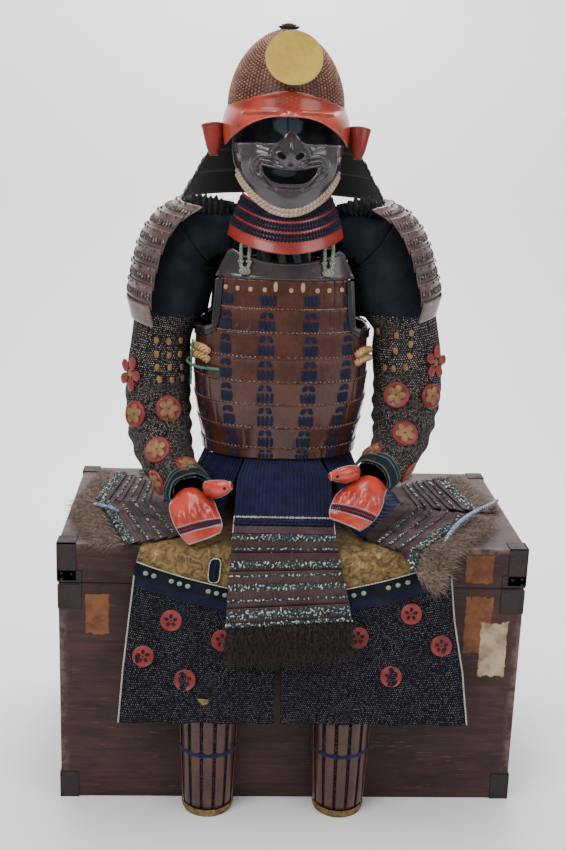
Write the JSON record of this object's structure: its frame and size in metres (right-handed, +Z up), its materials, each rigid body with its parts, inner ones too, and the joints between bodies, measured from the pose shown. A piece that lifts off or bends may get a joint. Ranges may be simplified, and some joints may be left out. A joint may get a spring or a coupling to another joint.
{
  "type": "samurai armour on its armour chest",
  "caption": "Old lacquered samurai armour with studded helmet, iron half mask and laced cuirass, seated on its dark wooden armour chest.",
  "frame": {"origin": "on the floor under the middle of the armour chest", "axes": "+Z up, -Y is the way the armour faces, +X its left hand side (right in a front view)"},
  "size_m": [0.9, 0.5745, 1.5018],
  "materials": {
    "chest_wood": "worn dark red-brown lacquer",
    "stand_wood": "plain oiled wood",
    "grey_cloth": "plain grey-blue cloth",
    "russet_iron": "russet lacquered iron",
    "red_lacquer": "red lacquer, satin",
    "dark_iron": "dark patinated iron",
    "gilt": "matte gilt",
    "dark_laced_iron": "black lacquer with dark lacing",
    "mask_iron": "brown-mauve lacquered iron, satin",
    "beige_cord": "thick braided cord",
    "brown_lacquer": "brown lacquered scales",
    "green_cord": "faded green cord",
    "gold_cord": "gold cord",
    "indigo_cloth": "dark indigo cloth",
    "mail_cloth": "cloth covered in dark mail",
    "navy_lacing": "navy silk lacing",
    "brown_fur": "brown fur",
    "gold_brown_cloth": "crinkled gold-brown cloth"
  },
  "bodies": {
    "root": {"chest_body": "chest_wood", "chest_lid": "chest_wood", "stand": "stand_wood", "head_form": "grey_cloth", "helmet_bowl": "russet_iron", "helmet_brim": "red_lacquer", "helmet_crown": "dark_iron", "crest_holder": "dark_iron", "crest_disc": "gilt", "ear_left": "red_lacquer", "ear_right": "red_lacquer", "neck_guard_1": "dark_laced_iron", "neck_guard_2": "dark_laced_iron", "neck_guard_3": "dark_laced_iron", "neck_guard_4": "dark_laced_iron", "mask": "mask_iron", "chin_cord": "beige_cord", "throat_guard": "red_lacquer", "cuirass_front": "brown_lacquer", "cuirass_back": "brown_lacquer", "chest_plate": "mask_iron", "back_plate": "mask_iron", "shoulder_strap_left": "mask_iron", "shoulder_strap_right": "mask_iron", "strap_cord_left": "green_cord", "strap_cord_right": "green_cord", "side_cord_left": "gold_cord", "side_cord_right": "gold_cord", "collar": "indigo_cloth", "shoulder_cloth_left": "indigo_cloth", "shoulder_cloth_right": "indigo_cloth", "sleeve_left": "mail_cloth", "sleeve_right": "mail_cloth", "shoulder_guard_left": "russet_iron", "shoulder_guard_right": "russet_iron", "hand_guard_left": "red_lacquer", "hand_guard_right": "red_lacquer", "thumb_guard_left": "red_lacquer", "thumb_guard_right": "red_lacquer", "tasset_centre_lacing": "navy_lacing", "tasset_centre": "brown_lacquer", "tasset_front_left": "brown_lacquer", "tasset_front_right": "brown_lacquer", "tasset_side_left": "brown_lacquer", "tasset_side_right": "brown_lacquer", "tasset_back_left": "brown_lacquer", "tasset_back_right": "brown_lacquer", "fur_centre": "brown_fur", "fur_front_left": "brown_fur", "fur_front_right": "brown_fur", "fur_side_left": "brown_fur", "fur_side_right": "brown_fur", "thigh_panel_left": "gold_brown_cloth", "thigh_panel_right": "gold_brown_cloth", "thigh_mail_left": "mail_cloth", "thigh_mail_right": "mail_cloth", "greave_left": "russet_iron", "greave_right": "russet_iron"}
  },
  "joints": []
}
